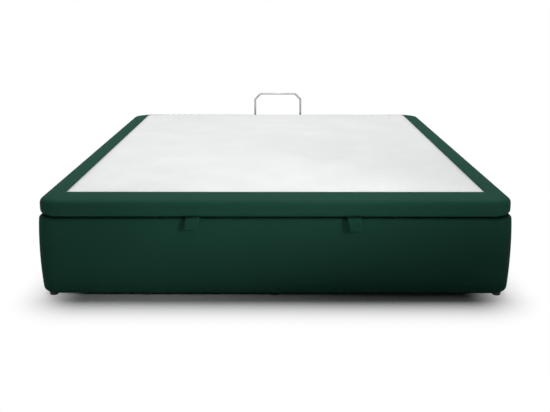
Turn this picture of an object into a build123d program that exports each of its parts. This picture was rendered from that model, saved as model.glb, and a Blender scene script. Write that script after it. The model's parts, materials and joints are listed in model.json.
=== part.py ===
from build123d import *
import os
from math import asin, atan2, cos, degrees, radians, sin, sqrt

# Storage bed base: an upholstered box on low glides, closed by an upholstered lid that
# lifts from the foot end on two hinges and two gas springs.
#
# Millimetres. +X is right seen from the foot end, +Y runs from the foot to the head and
# +Z is up. The origin lies on the floor under the middle glide. The lid is drawn closed.

# Overall sizes
BED_WIDTH = 1500.0
BED_LENGTH = 1900.0
CORNER_RADIUS = 65.0         # rounded upright corners of the box
GLIDE_HEIGHT = 12.0
BOX_HEIGHT = 247.0           # from the underside of the box cover to its top
LID_GAP = 5.0                # shadow gap between the box and the lid
LID_INSET = 6.0              # the lid is this much smaller than the box, all round
LIFT_ANGLE = 36.0            # the lid's full opening, in degrees

# Box construction
BOARD = 22.0                 # wall boards
BOX_PAD = 12.0               # foam and cover outside the boards
SKIN = 3.0                   # cover where it is turned over or under an edge
BULGE = 5.0                  # the padded face stands out this much at mid height
BOX_TOP_ROUND = 12.0
BOX_BOTTOM_ROUND = 14.0
CLEAT = 20.0                 # square strips and rails that carry the floor
FLOOR_THICKNESS = 6.0
FLOOR_JOINT = 1.0            # gap between the two floor panels
FLOOR_PLAY = 2.0             # gap between the floor and the walls
MIDDLE_RAIL_WIDTH = 60.0
SIDE_RAIL_WIDTH = 40.0

# Glides and buffers
GLIDE_RADIUS = 15.0
GLIDE_TAPER = 2.0
GLIDE_IN = 41.0              # box's face to the middle of a glide
BUFFER_RADIUS = 8.0
BUFFER_FROM_EDGE = 1.0       # buffer to the wall board's inner edge

# Corner braces
BRACE_THICKNESS = 2.5
BRACE_HEIGHT = 80.0
BRACE_FLANGE = 40.0
BRACE_SPAN = 75.0            # along each wall, from the flange's bend to the post
BRACE_Z = 150.0              # above the floor panels, to the brace's middle
POST_BOLT_RADIUS = 4.0
POST_BOLT_LENGTH = 50.0
POST_NUT_ACROSS = 13.0

# Bolts and nuts
SHANK_SIDES = 8              # hidden shanks and their holes are drawn with flats
ROUND_SIDES = 16             # small plain round pieces, drawn with flats
ROUND_FLATS = 4              # flats in each quarter round of the padded covers
SEAL_SIDES = 24              # pieces hidden inside the gas springs, drawn with flats
BOLT_RADIUS = 3.0
BOLT_ACROSS = 10.0           # across the flats of the heads and nuts
BOLT_HEAD = 4.0
BOLT_NUT = 5.0
BOLT_TIP = 2.0               # thread that shows past a nut
NUT = 6.0                    # height of the larger nuts

# Lid construction
LID_PAD = 12.0               # foam and cover outside the frame
LID_TOP_ROUND = 18.0
LID_BOTTOM_ROUND = 18.0
LIP_PAST_TUBE = 3.0          # the cover is turned under the frame's outer tube and this much on
TUBE = 30.0                  # square tube of the lid frame
TUBE_WALL = 1.5
REAR_STRIP = 2.0             # flat bar along the lid's head edge
CROSS_TUBES = 4              # besides the one that carries the hinges
LID_BOARD = 8.0
LID_FOAM = 7.0
BORDER_ABOVE_FOAM = 2.0      # the padded border stands this much above the foam
PANEL_EDGE = 3.0             # the pale panel's upright edge
PANEL_CROWN = 10.0
CROWN_STEPS = (              # share of the panel's length, and of the crown there
    (0.0, 0.15),
    (0.08, 0.75),
    (0.5, 1.0),
    (0.92, 0.75),
    (1.0, 0.15),
)
SIDE_BORDER = 69.0           # green border beside the pale panel
FOOT_BORDER = 132.0
HEAD_BORDER = 20.0
POCKET_HALF = 46.0           # half width of the gap in the lip at each hinge

# Hinges
HINGE_X = 500.0
PIVOT_FROM_HEAD = 31.0       # axis to the box's head face
EYE_BELOW_BOARD = 0.5        # room between the hinge eyes and the lid's board
PIN_RADIUS = 5.0
PIN_ACROSS = 16.0            # across the flats of the pin's head and nut
BUSH_WALL = 2.0
RUNNING = 0.05               # radial clearance of everything that turns
BRACKET_PLATE = 4.0
BRACKET_HALF_WIDTH = 40.0
BRACKET_HEIGHT = 105.0
BRACKET_DEPTH = 16.0
BRACKET_NECK = 13.0          # depth of the webs where they leave the box
EYE_RADIUS = 9.5
LUG_HALF_WIDTH = 10.5
SIDE_PLAY = 0.5              # on each side of a piece that turns between two others
LUG_PLATE = 4.0
LUG_PLATE_HALF_WIDTH = 30.0
PLATE_MARGIN = 1.0           # plates stop this far inside a tube's face
HINGE_TUBE_AHEAD = 42.0      # axis to the rear face of the tube that carries the lugs

# Gas springs
SPRING_FROM_RAIL = 14.0      # spring axis to the inner face of the lid's side rail
LOWER_STUD_ABOVE_FLOOR = 28.0
UPPER_STUD_BELOW_PIVOT = 6.0
SPRING_DEAD_LENGTH = 72.0    # closed length less the stroke: eyes, cap, piston and guide
STUD_RADIUS = 4.0
STUD_ACROSS = 13.0           # shoulder, across its flats, and the riveted head
STUD_HEAD = 2.5              # riveted end that keeps the spring's eye on
STUD_PLATE = 3.0
STUD_PLATE_HALF_LENGTH = 36.0
SPRING_EYE_RADIUS = 10.0
SPRING_EYE_WIDTH = 10.0
SPRING_NECK = 4.5            # half the width of the eyes' flat necks
EYE_WEB = 2.0                # solid metal between the upper eye and the rod's end
CYLINDER_RADIUS = 11.0
CYLINDER_WALL = 1.5
CYLINDER_CAP = 5.0
PISTON_PLAY = 1.5            # piston to the cap while the lid is closed
ROD_RADIUS = 4.0
ROD_THREAD_RADIUS = 3.0
ROD_GUIDE = 7.0
PISTON = 10.0
CYLINDER_START = 15.0        # lower stud to the cylinder's end
ROD_EYE_SOCKET = 24.0        # upper stud to the socket's end
ROD_SHOWING = 3.0            # bare rod while the lid is closed
CRIMP = 1.0                  # turned-in lip at the cylinder's mouth
SLIDING = 0.1                # radial clearance of the rod and the piston

# Pull tabs
TAB_X = 247.0
TAB_WIDTH = 45.0
TAB_THICKNESS = 1.8
TAB_DROP = 14.0              # straight part that hangs in front of the box
TAB_REACH = 11.0             # between the loop's two layers
TAB_INSIDE = 55.0            # strap held inside, from the box's face
TAB_LAYER_GAP = 0.2          # between the two layers inside the gap
STRAP_FLATS = 6              # flats in each quarter turn of the strap
TAB_CLEAR = 1.5              # extra room between the strap and the box's rounded edge

# Mattress bar
BAR_RADIUS = 5.0
BAR_WIDTH = 240.0
BAR_HEIGHT = 115.0           # above the lid's edge
BAR_OFFSET = 10.0            # to the right of the middle
BAR_CHAMFER = 30.0           # each sloping corner, both ways
BAR_BEND = 14.0
BAR_WELD = 1.0               # the bar is let into its plates this deep
BAR_FOOT = 2.0               # the legs stop this far above the plates' foot
BAR_PLATE = 3.0
BAR_PLATE_HALF_WIDTH = 24.0
BAR_PLATE_HALF_HEIGHT = 11.0
BAR_BOLT_X = 15.0

# Levels
BOX_BOTTOM = GLIDE_HEIGHT
BOX_TOP = BOX_BOTTOM + BOX_HEIGHT
BOARD_BOTTOM = BOX_BOTTOM + SKIN
BOARD_TOP = BOX_TOP - SKIN
FLOOR_BOTTOM = BOARD_BOTTOM + CLEAT
FLOOR_TOP = FLOOR_BOTTOM + FLOOR_THICKNESS
LID_BOTTOM = BOX_TOP + LID_GAP
FRAME_BOTTOM = LID_BOTTOM + SKIN
FRAME_TOP = FRAME_BOTTOM + TUBE
LID_BOARD_TOP = FRAME_TOP + LID_BOARD
LID_FOAM_TOP = LID_BOARD_TOP + LID_FOAM
LID_TOP = LID_FOAM_TOP + BORDER_ABOVE_FOAM

# Plan lines, as distances from the middle
HALF_WIDTH = BED_WIDTH / 2
HALF_LENGTH = BED_LENGTH / 2
BOARD_X = HALF_WIDTH - BOX_PAD
BOARD_Y = HALF_LENGTH - BOX_PAD
WALL_X = BOARD_X - BOARD
WALL_Y = BOARD_Y - BOARD
POST_RADIUS = CORNER_RADIUS - BOX_PAD
CORNER_X = HALF_WIDTH - CORNER_RADIUS
CORNER_Y = HALF_LENGTH - CORNER_RADIUS
LID_X = HALF_WIDTH - LID_INSET
LID_Y = HALF_LENGTH - LID_INSET
LID_CORNER = CORNER_RADIUS - LID_INSET
FRAME_X = LID_X - LID_PAD
FRAME_Y = LID_Y - LID_PAD
FRAME_CORNER = LID_CORNER - LID_PAD
RAIL_X = FRAME_X - TUBE
PANEL_X = LID_X - SIDE_BORDER
PANEL_FOOT = -LID_Y + FOOT_BORDER
PANEL_HEAD = LID_Y - HEAD_BORDER

# Hinge axis and the two studs of each gas spring. Both studs lie at the same distance
# from the hinge axis, so the spring turns by exactly half of the lid's angle.
PIVOT_Y = HALF_LENGTH - PIVOT_FROM_HEAD
PIVOT_Z = FRAME_TOP - EYE_BELOW_BOARD - EYE_RADIUS
LOWER_STUD_Z = FLOOR_TOP + LOWER_STUD_ABOVE_FLOOR
UPPER_STUD_Z = PIVOT_Z - UPPER_STUD_BELOW_PIVOT
SPRING_X = RAIL_X - SPRING_FROM_RAIL


HALVINGS = 60                # steps of the search below


def spring_lengths(radius):
    """Closed and open lengths of a spring whose studs are this far from the hinge axis."""
    closed_angle = asin((PIVOT_Z - LOWER_STUD_Z) / radius) - asin((PIVOT_Z - UPPER_STUD_Z) / radius)
    open_angle = closed_angle + radians(LIFT_ANGLE)
    return 2 * radius * sin(closed_angle / 2), 2 * radius * sin(open_angle / 2)


def spring_radius():
    """The studs' distance from the hinge axis that leaves the spring its dead length."""
    low = PIVOT_Z - LOWER_STUD_Z
    high = 2 * low
    for _ in range(HALVINGS):
        middle = (low + high) / 2
        closed, extended = spring_lengths(middle)
        if 2 * closed - extended > SPRING_DEAD_LENGTH:
            low = middle
        else:
            high = middle
    return middle


STUD_RADIUS_FROM_PIVOT = spring_radius()
LOWER_STUD_Y = PIVOT_Y - sqrt(STUD_RADIUS_FROM_PIVOT**2 - (PIVOT_Z - LOWER_STUD_Z) ** 2)
UPPER_STUD_Y = PIVOT_Y - sqrt(STUD_RADIUS_FROM_PIVOT**2 - (PIVOT_Z - UPPER_STUD_Z) ** 2)
SPRING_CLOSED, SPRING_OPEN = spring_lengths(STUD_RADIUS_FROM_PIVOT)

HINGE_TUBE_Y = PIVOT_Y - HINGE_TUBE_AHEAD - TUBE / 2
SPRING_TUBE_Y = UPPER_STUD_Y - STUD_PLATE_HALF_LENGTH - TUBE
FOOT_TUBE_Y = -FRAME_Y + TUBE / 2
REAR_RAIL_X = HINGE_X - POCKET_HALF - 2 * SIDE_PLAY
REAR_RAIL_Y = FRAME_Y - REAR_STRIP


# Helpers
def block(x, y, z):
    """A box between two limits on each axis."""
    size = [high - low for low, high in (x, y, z)]
    middle = [(high + low) / 2 for low, high in (x, y, z)]
    return Pos(*middle) * Box(*size)


def square_tube(x, y, z, along):
    """A square tube between two limits on each axis, open at both ends."""
    inside = [
        limits if axis == along else (limits[0] + TUBE_WALL, limits[1] - TUBE_WALL)
        for axis, limits in zip("XYZ", (x, y, z))
    ]
    return block(x, y, z) - block(*inside)


def cylinder(radius, start, end):
    """A round bar between two points."""
    axis = Vector(*end) - Vector(*start)
    return Plane(origin=start, z_dir=axis) * Cylinder(
        radius, axis.length, align=(Align.CENTER, Align.CENTER, Align.MIN)
    )


def shaft_x(radius, x, y, z):
    """A round bar along X, between two X limits."""
    return cylinder(radius, (x[0], y, z), (x[1], y, z))


def sided_bar(radius, start, end, sides=SHANK_SIDES):
    """A bar with flats in place of a round surface, between two points."""
    axis = Vector(*end) - Vector(*start)
    outline = RegularPolygon(radius, sides)
    return Plane(origin=start, z_dir=axis) * extrude(outline, axis.length)


def hexagon(seat, outward, across, height):
    """A hexagonal nut or bolt head, standing on a surface at seat."""
    outline = RegularPolygon(across / 2, 6, major_radius=False)
    return Plane(origin=seat, z_dir=outward) * extrude(outline, height)


def both_sides(shape):
    """The shape on the right and its mirror image on the left."""
    return {"right": shape, "left": mirror(shape, about=Plane.YZ)}


def four_corners(shape):
    """The shape at the head-right corner, mirrored to all four."""
    sides = [shape, mirror(shape, about=Plane.YZ)]
    return sides + [mirror(s, about=Plane.XZ) for s in sides]


def solids_of(shapes):
    """Every solid in a shape or a list of shapes."""
    if not isinstance(shapes, list):
        shapes = [shapes]
    return [solid for shape in shapes for solid in shape.solids()]


def quarter_post(radius, centre, z):
    """An upright quarter-round post with its square corner at centre."""
    x, y = centre
    whole = Pos(x, y, z[0]) * Cylinder(
        radius, z[1] - z[0], align=(Align.CENTER, Align.CENTER, Align.MIN)
    )
    return whole & block((x, x + radius), (y, y + radius), z)


def rounded_edge(centre, radius, first):
    """A quarter round of a section as a few flats, anticlockwise from an angle in degrees."""
    angles = [radians(first + 90 * n / ROUND_FLATS) for n in range(ROUND_FLATS + 1)]
    return [(centre[0] + radius * cos(a), centre[1] + radius * sin(a)) for a in angles]


def run_round(outline):
    """A closed section run round the rounded plan. Its points are a distance out from the
    middle of the corners' curve, and a level. A third value bulges the line to the next
    point outwards by that much."""
    edges = []
    for start, end in zip(outline, outline[1:] + outline[:1]):
        first, last = (start[0], 0, start[1]), (end[0], 0, end[1])
        if len(start) == 2:
            edges.append(Line(first, last))
        else:
            middle = ((start[0] + end[0]) / 2 + start[2], 0, (start[1] + end[1]) / 2)
            edges.append(ThreePointArc(first, middle, last))
    section = make_face(edges)
    side = extrude(Pos(CORNER_X, 0, 0) * section, CORNER_Y, dir=(0, 1, 0), both=True)
    end = extrude(
        Pos(0, CORNER_Y, 0) * Rot(0, 0, 90) * section, CORNER_X, dir=(1, 0, 0), both=True
    )
    corner = Pos(CORNER_X, CORNER_Y, 0) * revolve(section, Axis.Z, revolution_arc=90)
    pieces = [side, mirror(side, about=Plane.YZ), end, mirror(end, about=Plane.XZ)]
    pieces += four_corners(corner)
    return pieces[0].fuse(*pieces[1:])


# Box
def box_cover():
    """Padded cover round the four walls, turned over their top and under their foot."""
    face = CORNER_RADIUS - BULGE
    low = BOX_BOTTOM + BOX_BOTTOM_ROUND
    high = BOX_TOP - BOX_TOP_ROUND
    inner = CORNER_RADIUS - BOX_PAD
    wall = inner - BOARD
    lip = wall - CLEAT
    foot = rounded_edge((face - BOX_BOTTOM_ROUND, low), BOX_BOTTOM_ROUND, -90)
    head = rounded_edge((face - BOX_TOP_ROUND, high), BOX_TOP_ROUND, 0)
    return run_round(
        foot[:-1]
        + [(*foot[-1], BULGE)]
        + head
        + [
            (wall, BOX_TOP),
            (wall, BOARD_TOP),
            (inner, BOARD_TOP),
            (inner, BOARD_BOTTOM),
            (lip, BOARD_BOTTOM),
            (lip, BOX_BOTTOM),
        ]
    )


def wall_boards():
    """The four wall boards, with no screw holes yet."""
    z = (BOARD_BOTTOM, BOARD_TOP)
    side = both_sides(block((WALL_X, BOARD_X), (-CORNER_Y, CORNER_Y), z))
    head = block((-CORNER_X, CORNER_X), (WALL_Y, BOARD_Y), z)
    return {
        "side_board_right": side["right"],
        "side_board_left": side["left"],
        "head_board": head,
        "foot_board": mirror(head, about=Plane.XZ),
    }


def brace_line():
    """Plan points of a corner brace's outer side, from the side wall to the head wall."""
    bend = BRACE_SPAN + WALL_Y - CORNER_Y
    return [
        (WALL_X, WALL_Y - bend - BRACE_FLANGE),
        (WALL_X, WALL_Y - bend),
        (WALL_X - bend, WALL_Y),
        (WALL_X - bend - BRACE_FLANGE, WALL_Y),
    ]


def corner_brace():
    """A bent steel brace across a corner, screwed to both walls and bolted to the post."""
    outer = brace_line()
    slope = BRACE_THICKNESS * sqrt(2)
    turn = slope - BRACE_THICKNESS
    inner = [
        (outer[3][0], outer[3][1] - BRACE_THICKNESS),
        (outer[2][0] - turn, outer[2][1] - BRACE_THICKNESS),
        (outer[1][0] - BRACE_THICKNESS, outer[1][1] - turn),
        (outer[0][0] - BRACE_THICKNESS, outer[0][1]),
    ]
    bottom = FLOOR_TOP + BRACE_Z - BRACE_HEIGHT / 2
    plan = make_face(Polyline(*outer, *inner, close=True))
    return Pos(0, 0, bottom) * extrude(plan, BRACE_HEIGHT)


def post_bolt():
    """A hanger bolt from the post through the brace, with its nut."""
    _, (x1, y1), (x2, y2), _ = brace_line()
    level = FLOOR_TOP + BRACE_Z
    web = Vector((x1 + x2) / 2, (y1 + y2) / 2, level)
    outward = Vector(-1, -1, 0).normalized()
    seat = web + outward * BRACE_THICKNESS
    tip = seat + outward * (NUT + POST_BOLT_RADIUS)
    root = tip - outward * POST_BOLT_LENGTH
    shank = sided_bar(POST_BOLT_RADIUS, tuple(root), tuple(tip))
    nut = hexagon(tuple(seat), tuple(outward), POST_NUT_ACROSS, NUT) - shank
    return shank, nut


def floor_cleats():
    """Strips along the foot of the four walls."""
    z = (BOARD_BOTTOM, FLOOR_BOTTOM)
    side = block((WALL_X - CLEAT, WALL_X), (-CORNER_Y, CORNER_Y), z)
    reach = min(CORNER_X, WALL_X - CLEAT)
    end = block((-reach, reach), (WALL_Y - CLEAT, WALL_Y), z)
    return [side, mirror(side, about=Plane.YZ), end, mirror(end, about=Plane.XZ)]


def floor_rails():
    """Three rails across the box: a wide one under the joint and one under each panel."""
    x = (-WALL_X + CLEAT, WALL_X - CLEAT)
    z = (BOARD_BOTTOM, FLOOR_BOTTOM)
    rails = []
    for y, width in (
        (0, MIDDLE_RAIL_WIDTH),
        (-WALL_Y / 2, SIDE_RAIL_WIDTH),
        (WALL_Y / 2, SIDE_RAIL_WIDTH),
    ):
        rails.append(block(x, (y - width / 2, y + width / 2), z))
    return rails


def floor_panel():
    """The head-end floor panel, notched round the two corner posts."""
    z = (FLOOR_BOTTOM, FLOOR_TOP)
    reach_x = WALL_X - FLOOR_PLAY
    reach_y = WALL_Y - FLOOR_PLAY
    panel = block((-reach_x, reach_x), (FLOOR_JOINT / 2, reach_y), z)
    notch = block((CORNER_X - FLOOR_PLAY, WALL_X), (CORNER_Y - FLOOR_PLAY, WALL_Y), z)
    return panel - notch - mirror(notch, about=Plane.YZ)


def glide_places():
    """Plan places of the glides: a grid of three by three."""
    x_line = HALF_WIDTH - GLIDE_IN
    y_line = HALF_LENGTH - GLIDE_IN
    return [(x, y) for x in (-x_line, 0, x_line) for y in (-y_line, 0, y_line)]


def glide_top(place):
    """The surface that a glide is nailed to."""
    return BOARD_BOTTOM if place == (0, 0) else BOX_BOTTOM


def glide(place):
    """A tapered plastic glide."""
    top = glide_top(place)
    taper = degrees(atan2(GLIDE_TAPER, top))
    foot = RegularPolygon(GLIDE_RADIUS - GLIDE_TAPER, ROUND_SIDES)
    return Pos(*place, 0) * extrude(foot, top, taper=-taper)


def lid_buffers():
    """Rubber buffers on top of the walls, which hold the lid off the cover."""
    x = WALL_X + BUFFER_FROM_EDGE + BUFFER_RADIUS
    y = WALL_Y + BUFFER_FROM_EDGE + BUFFER_RADIUS
    places = [(side * x, along * HALF_LENGTH / 2) for side in (-1, 1) for along in (-1, 0, 1)]
    places += [(side * HALF_WIDTH / 2, -y) for side in (-1, 1)]
    buffer = extrude(RegularPolygon(BUFFER_RADIUS, ROUND_SIDES), LID_GAP)
    return [Pos(px, py, BOX_TOP) * buffer for px, py in places]


# Hinges
def bracket_bottom():
    """Lowest level of a hinge bracket."""
    return BOARD_TOP - SKIN - BRACKET_HEIGHT


def hinge_bracket():
    """A flange on the head board and two swan-neck webs that carry the pin."""
    flange_top = BOARD_TOP - SKIN
    low = bracket_bottom()
    front = WALL_Y - BRACKET_PLATE
    flange = block(
        (HINGE_X - BRACKET_HALF_WIDTH, HINGE_X + BRACKET_HALF_WIDTH),
        (front, WALL_Y),
        (low, flange_top),
    )
    flange = chamfer(flange.edges().filter_by(Axis.Y), BRACKET_PLATE)
    stem = make_face(
        Polyline(
            (0, front, low + BRACKET_DEPTH),
            (0, front - BRACKET_DEPTH, low + 2 * BRACKET_DEPTH),
            (0, front - BRACKET_DEPTH, BOX_TOP),
            (0, front - BRACKET_DEPTH + BRACKET_NECK, BOX_TOP),
            (0, front - BRACKET_DEPTH + BRACKET_NECK, flange_top),
            (0, front, flange_top),
            close=True,
        )
    )
    eye = Plane(origin=(0, PIVOT_Y, PIVOT_Z), z_dir=(1, 0, 0)) * Circle(EYE_RADIUS)
    foot = Line(
        (0, front - BRACKET_DEPTH, BOX_TOP), (0, front - BRACKET_DEPTH + BRACKET_NECK, BOX_TOP)
    )
    neck = swan_neck(eye, foot)
    inner = LUG_HALF_WIDTH + SIDE_PLAY
    web = extrude(stem, BRACKET_PLATE, dir=(1, 0, 0)) + extrude(
        neck, BRACKET_PLATE, dir=(1, 0, 0)
    )
    webs = [Pos(HINGE_X + inner, 0, 0) * web, Pos(HINGE_X - inner - BRACKET_PLATE, 0, 0) * web]
    body = flange.fuse(*webs)
    body -= shaft_x(
        PIN_RADIUS, (HINGE_X - BRACKET_HALF_WIDTH, HINGE_X + BRACKET_HALF_WIDTH), PIVOT_Y, PIVOT_Z
    )
    return body


def swan_neck(eye, foot):
    """The face between a round eye and a short straight foot, as their convex hull in YZ."""
    centre = Vector(0, PIVOT_Y, PIVOT_Z)
    points = []
    for end, side in ((foot @ 0, 1), (foot @ 1, -1)):
        away = end - centre
        turn = side * atan2(sqrt(away.length**2 - EYE_RADIUS**2), EYE_RADIUS)
        bearing = atan2(away.Z, away.Y) - turn
        touch = centre + Vector(0, cos(bearing), sin(bearing)) * EYE_RADIUS
        points += [end, touch] if side == 1 else [touch, end]
    blade = make_face(Polyline(*points, close=True))
    return blade + eye


def hinge_pin():
    """A pivot bolt through both webs, and its lock nut."""
    reach = LUG_HALF_WIDTH + SIDE_PLAY + BRACKET_PLATE
    shank = shaft_x(
        PIN_RADIUS, (HINGE_X - reach, HINGE_X + reach + NUT + BOLT_TIP), PIVOT_Y, PIVOT_Z
    )
    head = hexagon((HINGE_X - reach, PIVOT_Y, PIVOT_Z), (-1, 0, 0), PIN_ACROSS, NUT)
    nut = hexagon((HINGE_X + reach, PIVOT_Y, PIVOT_Z), (1, 0, 0), PIN_ACROSS, NUT)
    nut -= shank
    return shank + head, nut


def hinge_lug():
    """The lid's lug: a plate on the frame tube and a barrel round the bush."""
    plate_front = HINGE_TUBE_Y + TUBE / 2
    x = (HINGE_X - LUG_HALF_WIDTH, HINGE_X + LUG_HALF_WIDTH)
    plate = block(
        (HINGE_X - LUG_PLATE_HALF_WIDTH, HINGE_X + LUG_PLATE_HALF_WIDTH),
        (plate_front, plate_front + LUG_PLATE),
        (FRAME_BOTTOM + PLATE_MARGIN, FRAME_TOP - PLATE_MARGIN),
    )
    arm = block(x, (plate_front + LUG_PLATE, PIVOT_Y), (PIVOT_Z - EYE_RADIUS, PIVOT_Z + EYE_RADIUS))
    barrel = shaft_x(EYE_RADIUS, x, PIVOT_Y, PIVOT_Z)
    body = plate + arm + barrel
    return body - shaft_x(PIN_RADIUS + BUSH_WALL, x, PIVOT_Y, PIVOT_Z)


def hinge_bush():
    """Plain bush in the lug, running on the pin."""
    x = (HINGE_X - LUG_HALF_WIDTH, HINGE_X + LUG_HALF_WIDTH)
    outside = shaft_x(PIN_RADIUS + BUSH_WALL, x, PIVOT_Y, PIVOT_Z)
    return outside - shaft_x(PIN_RADIUS + RUNNING, x, PIVOT_Y, PIVOT_Z)


# Gas springs
def stud(plate_x, y, z):
    """A stud pointing inward from a plate at plate_x, with a hexagonal shoulder and a
    riveted head."""
    eye_outer = SPRING_X + SPRING_EYE_WIDTH / 2 + SIDE_PLAY
    eye_inner = SPRING_X - SPRING_EYE_WIDTH / 2 - SIDE_PLAY
    shoulder = hexagon((eye_outer, y, z), (1, 0, 0), STUD_ACROSS, plate_x - eye_outer)
    pin = shaft_x(STUD_RADIUS, (eye_inner - STUD_HEAD, eye_outer), y, z)
    head = sided_bar(
        STUD_ACROSS / 2, (eye_inner - STUD_HEAD, y, z), (eye_inner, y, z), ROUND_SIDES
    )
    return shoulder + pin + head


def spring_base():
    """The lower stud on its wall plate."""
    y, z = LOWER_STUD_Y, LOWER_STUD_Z
    reach = LOWER_STUD_ABOVE_FLOOR - FLOOR_PLAY
    plate = block(
        (WALL_X - STUD_PLATE, WALL_X),
        (y - STUD_PLATE_HALF_LENGTH, y + STUD_PLATE_HALF_LENGTH),
        (z - reach, z + reach),
    )
    plate = chamfer(plate.edges().filter_by(Axis.X), STUD_PLATE)
    return plate + stud(WALL_X - STUD_PLATE, y, z)


def spring_lid_plate():
    """The upper stud on a plate inside the lid's side rail."""
    y, z = UPPER_STUD_Y, UPPER_STUD_Z
    plate = block(
        (RAIL_X - STUD_PLATE, RAIL_X),
        (y - STUD_PLATE_HALF_LENGTH, y + STUD_PLATE_HALF_LENGTH),
        (FRAME_BOTTOM + PLATE_MARGIN, FRAME_TOP - PLATE_MARGIN),
    )
    plate = chamfer(plate.edges().filter_by(Axis.X), STUD_PLATE)
    return plate + stud(RAIL_X - STUD_PLATE, y, z)


def spring_plane():
    """The gas spring's own frame: origin at the lower stud, Z towards the upper one."""
    return Plane(
        origin=(SPRING_X, LOWER_STUD_Y, LOWER_STUD_Z),
        x_dir=(1, 0, 0),
        z_dir=(0, UPPER_STUD_Y - LOWER_STUD_Y, UPPER_STUD_Z - LOWER_STUD_Z),
    )


SOCKET_START = SPRING_CLOSED - ROD_EYE_SOCKET
CYLINDER_END = SOCKET_START - ROD_SHOWING
PISTON_START = CYLINDER_START + CYLINDER_CAP + PISTON_PLAY
BORE_RADIUS = CYLINDER_RADIUS - CYLINDER_WALL
ROD_END = SPRING_CLOSED - SPRING_EYE_RADIUS - EYE_WEB


def round_bar(radius, start, end):
    """A round bar on the spring's axis, between two distances from the lower stud."""
    return cylinder(radius, (0, 0, start), (0, 0, end))


def spring_eye(level, neck_end):
    """A flat eye at a stud, with a flat neck along the spring."""
    neck_start, neck_stop = sorted((level, neck_end))
    outline = Pos(level, 0) * Circle(SPRING_EYE_RADIUS)
    outline += Pos((neck_start + neck_stop) / 2, 0) * Rectangle(
        neck_stop - neck_start, 2 * SPRING_NECK
    )
    outline -= Pos(level, 0) * Circle(STUD_RADIUS + RUNNING)
    flat = Plane(origin=(0, 0, 0), x_dir=(0, 0, 1), z_dir=(1, 0, 0))
    return flat * extrude(outline, SPRING_EYE_WIDTH / 2, both=True)


def spring_cylinder():
    """Pressure tube with its welded cap and eye, rolled in over the rod guide."""
    tube = round_bar(CYLINDER_RADIUS, CYLINDER_START, CYLINDER_END)
    tube -= round_bar(BORE_RADIUS, CYLINDER_START + CYLINDER_CAP, CYLINDER_END - CRIMP)
    tube -= round_bar(ROD_RADIUS + 2 * CRIMP, CYLINDER_END - 2 * CRIMP, CYLINDER_END + CRIMP)
    return tube + spring_eye(0, CYLINDER_START + CRIMP)


def sealed_ring(outer, inner, span):
    """A ring inside the pressure tube, between two distances from the lower stud."""
    outline = RegularPolygon(outer, SEAL_SIDES)
    outline -= RegularPolygon(inner, SEAL_SIDES, major_radius=False)
    return Pos(0, 0, span[0]) * extrude(outline, span[1] - span[0])


def rod_guide():
    """Guide and seal pack in the cylinder's mouth."""
    span = (CYLINDER_END - CRIMP - ROD_GUIDE, CYLINDER_END - CRIMP)
    return sealed_ring(BORE_RADIUS, ROD_RADIUS + SLIDING, span)


def piston():
    """Piston on the rod's inner end."""
    return sealed_ring(BORE_RADIUS - SLIDING, ROD_RADIUS, (PISTON_START, PISTON_START + PISTON))


def rod_thread():
    """The rod's reduced end, screwed into the eye's socket."""
    return sided_bar(ROD_THREAD_RADIUS, (0, 0, SOCKET_START), (0, 0, ROD_END))


def piston_rod():
    """Chromed rod from the piston to the eye's socket."""
    return round_bar(ROD_RADIUS, PISTON_START, SOCKET_START) + rod_thread()


def rod_eye():
    """Eye screwed on the rod's outer end, with a hexagonal socket."""
    length = ROD_END + CRIMP - SOCKET_START
    socket = hexagon((0, 0, SOCKET_START), (0, 0, 1), STUD_ACROSS, length)
    return socket + spring_eye(SPRING_CLOSED, ROD_END) - rod_thread()


# Lid
def lid_cover():
    """Padded border of the lid: top band, sides and the lip turned under the frame."""
    lip = FRAME_CORNER - TUBE - LIP_PAST_TUBE
    foot_centre = (LID_CORNER - LID_BOTTOM_ROUND, LID_BOTTOM + LID_BOTTOM_ROUND)
    head_centre = (LID_CORNER - LID_TOP_ROUND, LID_TOP - LID_TOP_ROUND)
    rim = run_round(
        rounded_edge(foot_centre, LID_BOTTOM_ROUND, -90)
        + rounded_edge(head_centre, LID_TOP_ROUND, 0)
        + [
            (0, LID_TOP),
            (0, LID_BOARD_TOP),
            (FRAME_CORNER, LID_BOARD_TOP),
            (FRAME_CORNER, FRAME_BOTTOM),
            (lip, FRAME_BOTTOM),
            (lip, LID_BOTTOM),
        ]
    )
    over = (LID_BOARD_TOP, LID_TOP)
    border = block((-CORNER_X, CORNER_X), (-CORNER_Y, CORNER_Y), over)
    body = rim + border - block((-PANEL_X, PANEL_X), (PANEL_FOOT, PANEL_HEAD), over)
    pocket = block(
        (HINGE_X - POCKET_HALF, HINGE_X + POCKET_HALF),
        (0, FRAME_Y),
        (LID_BOTTOM, FRAME_TOP),
    )
    return body - pocket - mirror(pocket, about=Plane.YZ)


def lid_side_rail():
    """The right-hand tube of the lid frame."""
    ends = FRAME_Y - FRAME_CORNER
    return square_tube((RAIL_X, FRAME_X), (-ends, ends), (FRAME_BOTTOM, FRAME_TOP), "Y")


def lid_foot_rail():
    """The tube along the lid's foot edge."""
    ends = FRAME_X - FRAME_CORNER
    return square_tube(
        (-ends, ends), (-FRAME_Y, TUBE - FRAME_Y), (FRAME_BOTTOM, FRAME_TOP), "X"
    )


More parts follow.
